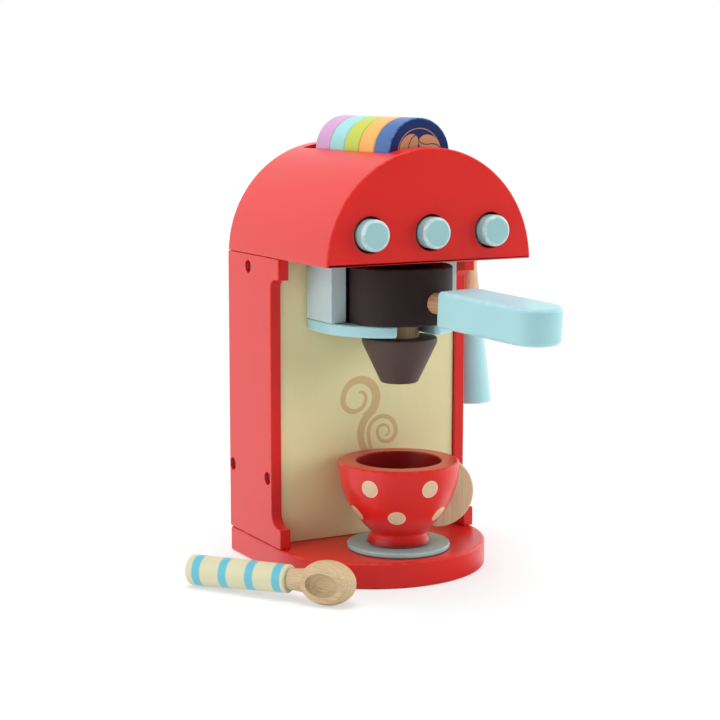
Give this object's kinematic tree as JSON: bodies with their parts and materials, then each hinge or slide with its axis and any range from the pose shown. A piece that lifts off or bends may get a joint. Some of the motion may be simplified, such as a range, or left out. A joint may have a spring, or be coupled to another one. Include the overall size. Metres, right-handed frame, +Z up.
{
  "type": "toy coffee maker",
  "caption": "Wooden toy coffee maker with a half-round head, push buttons, drop-in pods, a draw-out filter holder, a swinging steam wand, a cup and a spoon.",
  "frame": {"origin": "middle of the base board's underside, on the surface that the toy stands on", "axes": "+Z up, -Y towards the front with the buttons, +X to the right of someone facing the front"},
  "size_m": [0.2549, 0.2476, 0.3088],
  "materials": {
    "red_paint": "satin red paint on wood",
    "cream_paint": "satin cream paint on wood",
    "light_blue_paint": "satin light blue paint on wood",
    "dark_brown_stain": "satin dark brown paint on wood",
    "natural_wood": "bare light wood, sanded",
    "bare_board": "bare board, unpainted",
    "grey_blue_paint": "satin grey-blue paint on wood",
    "deep_blue_paint": "satin blue paint on wood",
    "orange_paint": "satin orange paint on wood",
    "lime_paint": "satin lime paint on wood",
    "aqua_paint": "satin aqua paint on wood",
    "purple_paint": "satin purple paint on wood",
    "screw_steel": "plain zinc-plated steel"
  },
  "bodies": {
    "machine": {"base_board": "red_paint", "left_side_panel": "red_paint", "right_side_panel": "red_paint", "front_panel": "cream_paint", "back_panel": "red_paint", "top_board": "bare_board", "head_front_board": "red_paint", "head_back_board": "red_paint", "left_head_shell": "red_paint", "right_head_shell": "red_paint", "head_floor": "red_paint", "pod_cradle": "red_paint", "button_stop_board": "bare_board", "brew_block": "light_blue_paint", "fork_plate": "light_blue_paint", "drip_disc": "grey_blue_paint", "left_button_spring": "screw_steel", "middle_button_spring": "screw_steel", "right_button_spring": "screw_steel", "left_base_screw": "screw_steel", "middle_base_screw": "screw_steel", "right_base_screw": "screw_steel", "left_top_side_screw": "screw_steel", "left_front_side_screw": "screw_steel", "left_rear_side_screw": "screw_steel", "right_top_side_screw": "screw_steel", "right_front_side_screw": "screw_steel", "right_rear_side_screw": "screw_steel", "left_block_screw": "screw_steel", "right_block_screw": "screw_steel", "wand_screw": "screw_steel", "wand_spacer": "natural_wood"},
    "button_a": {"left_button": "light_blue_paint"},
    "button_b": {"middle_button": "light_blue_paint"},
    "button_c": {"right_button": "light_blue_paint"},
    "filter_neck": {"neck_dowel": "natural_wood", "nozzle_cone": "dark_brown_stain"},
    "filter_handle": {"filter_drum": "dark_brown_stain", "handle_dowel": "natural_wood", "handle_grip": "light_blue_paint"},
    "pod_front": {"pod_1_deep_blue": "deep_blue_paint"},
    "pod_second": {"pod_2_orange": "orange_paint"},
    "pod_third": {"pod_3_lime": "lime_paint"},
    "pod_fourth": {"pod_4_aqua": "aqua_paint"},
    "pod_rear": {"pod_5_purple": "purple_paint"},
    "cup": {"cup_bowl": "red_paint", "cup_handle": "natural_wood"},
    "wand": {"wand_stem": "natural_wood", "wand_nozzle": "light_blue_paint"},
    "spoon": {"spoon_grip": "cream_paint", "spoon_scoop": "natural_wood"}
  },
  "joints": [
    {"name": "left_button_push", "type": "slide", "parent": "machine", "child": "button_a", "axis": [0, 1, 0], "range_m": [0, 0.005], "stiffness_N_per_m": 300, "springref_m": -0.004, "deforming": ["left_button_spring"]},
    {"name": "middle_button_push", "type": "slide", "parent": "machine", "child": "button_b", "axis": [0, 1, 0], "range_m": [0, 0.005], "stiffness_N_per_m": 300, "springref_m": -0.004, "deforming": ["middle_button_spring"]},
    {"name": "right_button_push", "type": "slide", "parent": "machine", "child": "button_c", "axis": [0, 1, 0], "range_m": [0, 0.005], "stiffness_N_per_m": 300, "springref_m": -0.004, "deforming": ["right_button_spring"]},
    {"name": "filter_draw", "type": "slide", "parent": "machine", "child": "filter_neck", "axis": [0, -1, 0], "range_m": [0, 0.06]},
    {"name": "filter_swing", "type": "hinge", "parent": "filter_neck", "child": "filter_handle", "pos_m": [0, -0.0335, 0.1738], "axis": [0, 0, 1], "range_deg": [-70, 45]},
    {"name": "front_pod_lift", "type": "slide", "parent": "machine", "child": "pod_front", "axis": [0, 0, 1], "range_m": [0, 0.048]},
    {"name": "second_pod_lift", "type": "slide", "parent": "machine", "child": "pod_second", "axis": [0, 0, 1], "range_m": [0, 0.048]},
    {"name": "third_pod_lift", "type": "slide", "parent": "machine", "child": "pod_third", "axis": [0, 0, 1], "range_m": [0, 0.048]},
    {"name": "fourth_pod_lift", "type": "slide", "parent": "machine", "child": "pod_fourth", "axis": [0, 0, 1], "range_m": [0, 0.048]},
    {"name": "rear_pod_lift", "type": "slide", "parent": "machine", "child": "pod_rear", "axis": [0, 0, 1], "range_m": [0, 0.048]},
    {"name": "cup_lift", "type": "slide", "parent": "machine", "child": "cup", "axis": [0, 0, 1], "range_m": [0, 0.045]},
    {"name": "spoon_lift", "type": "slide", "parent": "machine", "child": "spoon", "axis": [0, 0, 1], "range_m": [0, 0.06]},
    {"name": "wand_swing", "type": "hinge", "parent": "machine", "child": "wand", "pos_m": [0.0945, 0.03, 0.209], "axis": [1, 0, 0], "range_deg": [-35, 35]}
  ]
}
